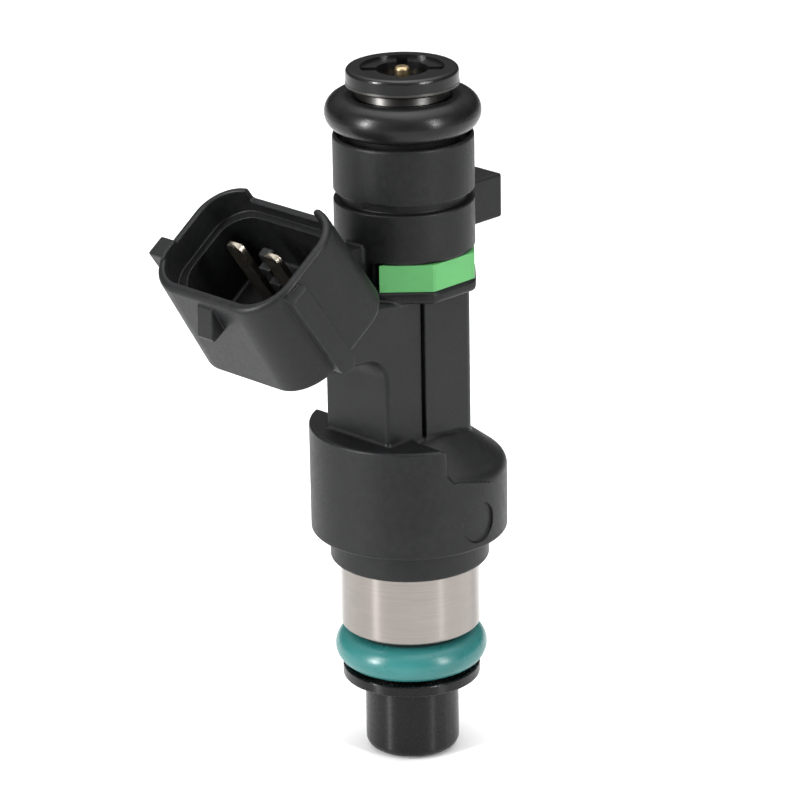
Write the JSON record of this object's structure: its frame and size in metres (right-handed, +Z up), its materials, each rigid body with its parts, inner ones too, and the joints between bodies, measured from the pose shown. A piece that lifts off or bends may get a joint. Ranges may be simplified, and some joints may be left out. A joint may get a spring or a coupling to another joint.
{
  "type": "fuel injector",
  "caption": "Top-feed electromagnetic fuel injector with an angled two-blade connector, seal rings at inlet and nozzle, and a spring-loaded ball valve inside.",
  "frame": {"origin": "centre of the nozzle's end face, on the injector's axis", "axes": "+Z up along the injector's axis, from the nozzle to the fuel inlet; the electrical connector leans out towards -Y; X is across, and the YZ plane is the plane of symmetry"},
  "size_m": [0.0188, 0.0363, 0.0679],
  "materials": {
    "moulded_black": "fine moulded grain, charcoal black",
    "green_band": "satin green",
    "stainless_tube": "bright turned",
    "cap_plastic": "semi-gloss black",
    "filter_brass": "satin",
    "filter_gauze": "woven gauze",
    "black_rubber": "oiled rubber",
    "washer_plastic": "matte black",
    "tinned_terminal": "tinned bronze",
    "bobbin_plastic": "glass-filled nylon",
    "enamelled_copper": "enamelled copper wire",
    "magnetic_steel": "machined",
    "stainless_inner": "machined",
    "spring_steel": "drawn wire",
    "stainless_band": "fine turned, satin",
    "teal_rubber": "smooth teal rubber",
    "tip_plastic": "gloss black"
  },
  "bodies": {
    "root": {"overmold_body": "moulded_black", "colour_band": "green_band", "inlet_tube": "stainless_tube", "inlet_cap": "cap_plastic", "filter_frame": "filter_brass", "filter_mesh": "filter_gauze", "upper_o_ring": "black_rubber", "upper_backup_washer": "washer_plastic", "terminal_left": "tinned_terminal", "terminal_right": "tinned_terminal", "coil_bobbin": "bobbin_plastic", "coil_winding": "enamelled_copper", "yoke_shell": "magnetic_steel", "upper_yoke_washer": "magnetic_steel", "pole_core": "magnetic_steel", "adjusting_tube": "stainless_inner", "return_spring": "spring_steel", "nonmagnetic_ring": "stainless_inner", "valve_body": "stainless_band", "guide_disc": "stainless_inner", "valve_seat": "stainless_inner", "orifice_plate": "stainless_inner", "lower_backup_washer": "washer_plastic", "lower_o_ring": "teal_rubber", "tip_cap": "tip_plastic"},
    "needle": {"armature": "magnetic_steel", "needle_tube": "stainless_inner", "valve_ball": "stainless_inner"}
  },
  "joints": [
    {"name": "needle_lift", "type": "slide", "parent": "root", "child": "needle", "axis": [0, 0, 1], "range_m": [0, 0.00008], "stiffness_N_per_m": 4000, "springref_m": -0.001, "deforming": ["return_spring"]}
  ]
}
